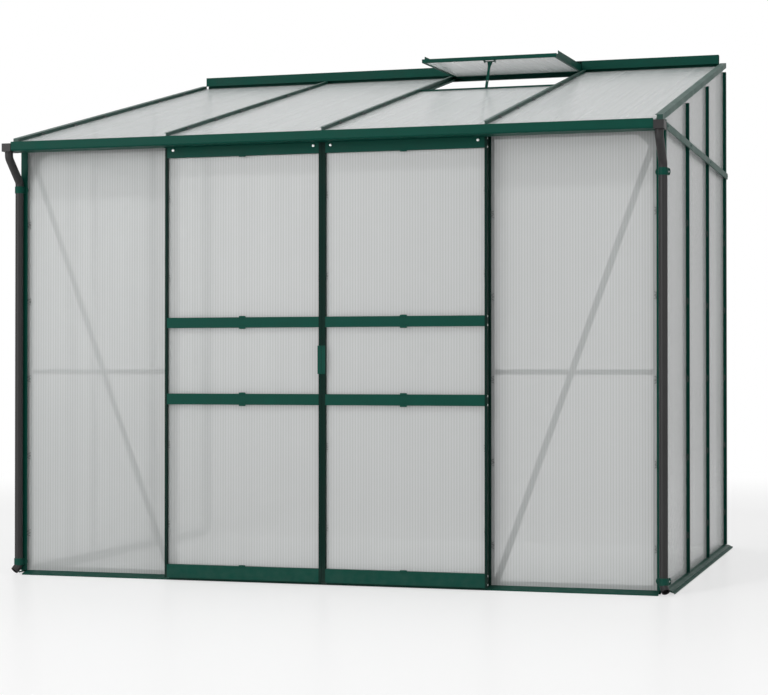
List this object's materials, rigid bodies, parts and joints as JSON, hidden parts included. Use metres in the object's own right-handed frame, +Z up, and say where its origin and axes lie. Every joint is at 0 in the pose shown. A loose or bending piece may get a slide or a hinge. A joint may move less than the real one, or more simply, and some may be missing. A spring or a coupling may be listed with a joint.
{
  "type": "lean to greenhouse",
  "caption": "Lean-to greenhouse of green aluminium bars and milky twin-wall sheet, with sliding double doors, a roof vent on a stay, a gutter and downpipes.",
  "frame": {"origin": "on the floor, under the centre of the overall box", "axes": "+X along the front to the right as seen from outside, +Y from the front to the house wall, +Z up"},
  "size_m": [2.57, 2.029, 2.205],
  "materials": {
    "green_metal": "satin dark green powder coat on extruded aluminium",
    "clear_sheet": "milky translucent twin-wall sheet with vertical flutes",
    "black_plastic": "black moulded plastic",
    "white_nylon": "white moulded nylon"
  },
  "bodies": {
    "frame": {"front_sill": "green_metal", "left_sill": "green_metal", "right_sill": "green_metal", "left_corner_post": "green_metal", "right_corner_post": "green_metal", "left_door_jamb": "green_metal", "right_door_jamb": "green_metal", "left_side_bar_1": "green_metal", "left_side_bar_2": "green_metal", "left_wall_post": "green_metal", "right_side_bar_1": "green_metal", "right_side_bar_2": "green_metal", "right_wall_post": "green_metal", "left_side_eaves_rail": "green_metal", "right_side_eaves_rail": "green_metal", "eaves_gutter": "green_metal", "ridge_bar": "green_metal", "inner_rafter_1": "green_metal", "inner_rafter_2": "green_metal", "inner_rafter_3": "green_metal", "left_end_rafter": "green_metal", "right_end_rafter": "green_metal", "vent_sill": "green_metal", "left_brace_rail": "green_metal", "right_brace_rail": "green_metal", "left_diagonal_brace": "green_metal", "right_diagonal_brace": "green_metal", "left_front_sheet": "clear_sheet", "right_front_sheet": "clear_sheet", "left_side_sheet_1": "clear_sheet", "left_side_sheet_2": "clear_sheet", "left_side_sheet_3": "clear_sheet", "right_side_sheet_1": "clear_sheet", "right_side_sheet_2": "clear_sheet", "right_side_sheet_3": "clear_sheet", "roof_sheet_1": "clear_sheet", "roof_sheet_2": "clear_sheet", "roof_sheet_3": "clear_sheet", "roof_sheet_4": "clear_sheet", "left_gutter_outlet": "black_plastic", "right_gutter_outlet": "black_plastic", "left_downpipe": "black_plastic", "right_downpipe": "black_plastic"},
    "left_door": {"left_door_frame": "green_metal", "left_door_lower_sheet": "clear_sheet", "left_door_middle_sheet": "clear_sheet", "left_door_upper_sheet": "clear_sheet", "left_door_handle": "green_metal"},
    "right_door": {"right_door_frame": "green_metal", "right_door_lower_sheet": "clear_sheet", "right_door_middle_sheet": "clear_sheet", "right_door_upper_sheet": "clear_sheet", "right_door_handle": "green_metal"},
    "left_roller_1": {"left_door_roller_1": "white_nylon"},
    "left_roller_2": {"left_door_roller_2": "white_nylon"},
    "right_roller_1": {"right_door_roller_1": "white_nylon"},
    "right_roller_2": {"right_door_roller_2": "white_nylon"},
    "vent": {"vent_frame": "green_metal", "vent_sheet": "clear_sheet"},
    "stay": {"vent_stay": "green_metal"}
  },
  "joints": [
    {"name": "left_door_slide", "type": "slide", "parent": "frame", "child": "left_door", "axis": [-1, 0, 0], "range_m": [0, 0.6]},
    {"name": "right_door_slide", "type": "slide", "parent": "frame", "child": "right_door", "axis": [1, 0, 0], "range_m": [0, 0.6]},
    {"name": "left_roller_1_spin", "type": "hinge", "parent": "left_door", "child": "left_roller_1", "pos_m": [-0.0335, -0.938, 1.65], "axis": [0, -1, 0], "range_deg": [-10, 3850]},
    {"name": "left_roller_2_spin", "type": "hinge", "parent": "left_door", "child": "left_roller_2", "pos_m": [-0.5925, -0.938, 1.65], "axis": [0, -1, 0], "range_deg": [-10, 3850]},
    {"name": "right_roller_1_spin", "type": "hinge", "parent": "right_door", "child": "right_roller_1", "pos_m": [0.0335, -0.938, 1.65], "axis": [0, 1, 0], "range_deg": [-10, 3850]},
    {"name": "right_roller_2_spin", "type": "hinge", "parent": "right_door", "child": "right_roller_2", "pos_m": [0.5925, -0.938, 1.65], "axis": [0, 1, 0], "range_deg": [-10, 3850]},
    {"name": "vent_hinge", "type": "hinge", "parent": "frame", "child": "vent", "pos_m": [0.31, 0.9945, 2.17361], "axis": [-1, 0, 0], "range_deg": [-11.6, 12]},
    {"name": "stay_pivot", "type": "hinge", "parent": "vent", "child": "stay", "pos_m": [0.31, 0.43467, 2.1317], "axis": [-1, 0, 0], "range_deg": [-14, 14]}
  ],
  "couplings": [
    {"joint": "left_roller_1_spin", "follows": "left_door_slide", "rad_per_m": 111.11},
    {"joint": "left_roller_2_spin", "follows": "left_door_slide", "rad_per_m": 111.11},
    {"joint": "right_roller_1_spin", "follows": "right_door_slide", "rad_per_m": 111.11},
    {"joint": "right_roller_2_spin", "follows": "right_door_slide", "rad_per_m": 111.11},
    {"joint": "stay_pivot", "follows": "vent_hinge", "ratio": -1}
  ]
}
